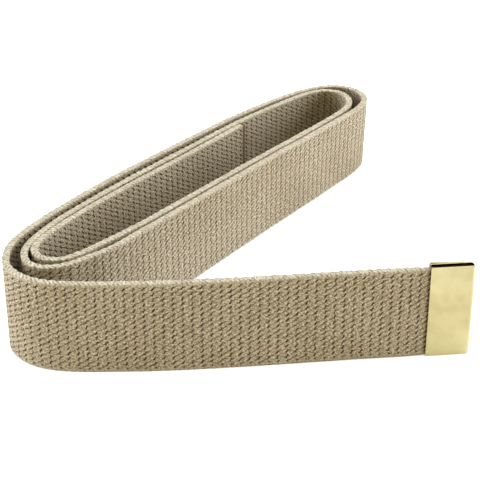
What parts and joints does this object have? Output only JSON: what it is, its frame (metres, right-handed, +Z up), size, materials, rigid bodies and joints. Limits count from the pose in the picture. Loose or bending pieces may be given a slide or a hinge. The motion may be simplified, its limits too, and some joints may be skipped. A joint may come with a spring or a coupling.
{
  "type": "canvas web belt",
  "caption": "Woven canvas web belt standing on its edge, wound into a long flat coil, with a folded brass tip on its free end.",
  "frame": {"origin": "middle of the footprint, on the surface that the belt stands on", "axes": "+Z up across the strap's width, +X to the picture's right along the free run towards the tip, +Y away from the camera"},
  "size_m": [0.153, 0.1694, 0.0323],
  "materials": {
    "webbing": "coarse twill-like canvas weave, khaki",
    "belt_tip": "pale polished brass"
  },
  "bodies": {
    "root": {"webbing": "webbing", "belt_tip": "belt_tip"}
  },
  "joints": []
}
